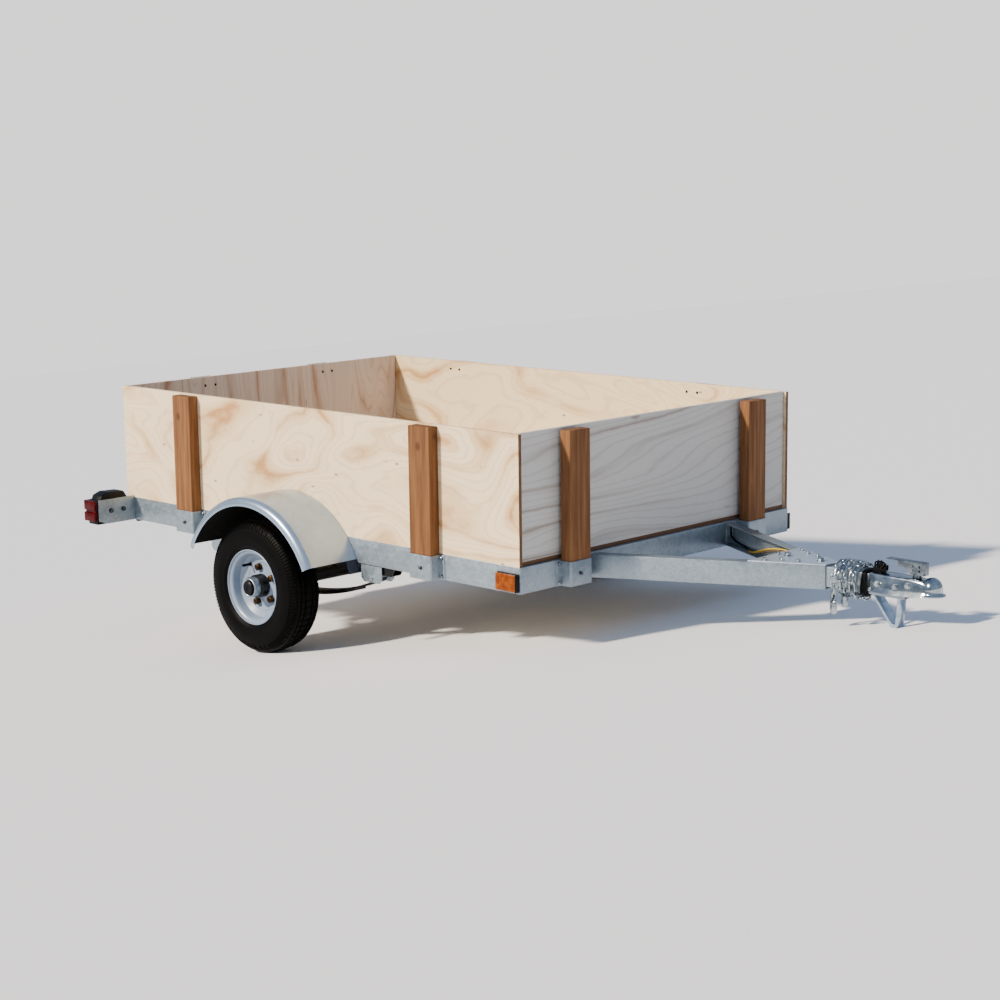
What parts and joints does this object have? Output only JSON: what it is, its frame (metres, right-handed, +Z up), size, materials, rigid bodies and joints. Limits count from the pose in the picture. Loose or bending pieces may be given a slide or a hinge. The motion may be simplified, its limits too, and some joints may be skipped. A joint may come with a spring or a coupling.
{
  "type": "utility trailer",
  "caption": "Single-axle utility trailer with plywood sides held by timber stakes on a bolted galvanised frame, with a ball coupler, mudguards and lamps.",
  "frame": {"origin": "middle of the ground plane under the whole trailer, standing on its tyres and its tongue foot", "axes": "+X to the trailer's right, +Y forward to the coupler, +Z up"},
  "size_m": [1.632, 2.8276, 0.8506],
  "materials": {
    "galvanised": "spangled hot-dip zinc",
    "bare_steel": "satin rolled sheet",
    "zinc": "bright zinc plate",
    "plywood": "unfinished softwood plywood",
    "stake_timber": "reddish brown sawn timber",
    "tyre_rubber": "black rubber",
    "white_enamel": "white enamel",
    "black_paint": "black enamel",
    "blue_black_paint": "dark enamel",
    "bronze_nuts": "yellow passivated steel",
    "black_plastic": "moulded black",
    "red_lens": "moulded red",
    "amber_lens": "moulded amber",
    "cable_black": "black sheath"
  },
  "bodies": {
    "frame": {"side_rail_right": "galvanised", "front_rail": "galvanised", "rear_rail": "galvanised", "cross_members": "galvanised", "deck": "plywood", "side_panel_right": "plywood", "front_panel": "plywood", "rear_panel": "plywood", "stakes_right": "stake_timber", "pockets_right": "galvanised", "stakes_left": "stake_timber", "pockets_left": "galvanised", "stakes_front": "stake_timber", "pockets_front": "galvanised", "stakes_rear": "stake_timber", "pockets_rear": "galvanised", "tongue_arm_right": "galvanised", "tongue_tube": "galvanised", "tongue_gusset": "galvanised", "coupler_body": "zinc", "coupler_clamp": "zinc", "coupler_latch": "zinc", "tongue_foot": "zinc", "axle_beam": "black_paint", "leaf_spring_right": "black_paint", "spring_clamps": "black_paint", "axle_pads": "black_paint", "spring_carrier_right": "black_paint", "spring_hangers_right": "galvanised", "mudguard_right": "bare_steel", "mudguard_brackets": "blue_black_paint", "lamp_brackets": "galvanised", "tail_lamps": "black_plastic", "tail_lenses": "red_lens", "marker_bases": "black_plastic", "marker_lenses": "amber_lens", "safety_chains": "zinc", "chain_hooks": "zinc", "cable_wrap": "cable_black", "cable_plug": "cable_black", "side_rail_left": "galvanised", "side_panel_left": "plywood", "tongue_arm_left": "galvanised", "leaf_spring_left": "black_paint", "spring_carrier_left": "black_paint", "spring_hangers_left": "galvanised", "mudguard_left": "bare_steel"},
    "wheel_right": {"tyre_right": "tyre_rubber", "rim_right": "white_enamel", "hub_right": "black_paint", "lug_nuts_right": "bronze_nuts"},
    "wheel_left": {"tyre_left": "tyre_rubber", "rim_left": "white_enamel", "hub_left": "black_paint", "lug_nuts_left": "bronze_nuts"}
  },
  "joints": [
    {"name": "wheel_right_spin", "type": "hinge", "parent": "frame", "child": "wheel_right", "pos_m": [0.734, -0.53151, 0.2075], "axis": [1, 0, 0], "continuous": true},
    {"name": "wheel_left_spin", "type": "hinge", "parent": "frame", "child": "wheel_left", "pos_m": [-0.734, -0.53151, 0.2075], "axis": [1, 0, 0], "continuous": true}
  ]
}
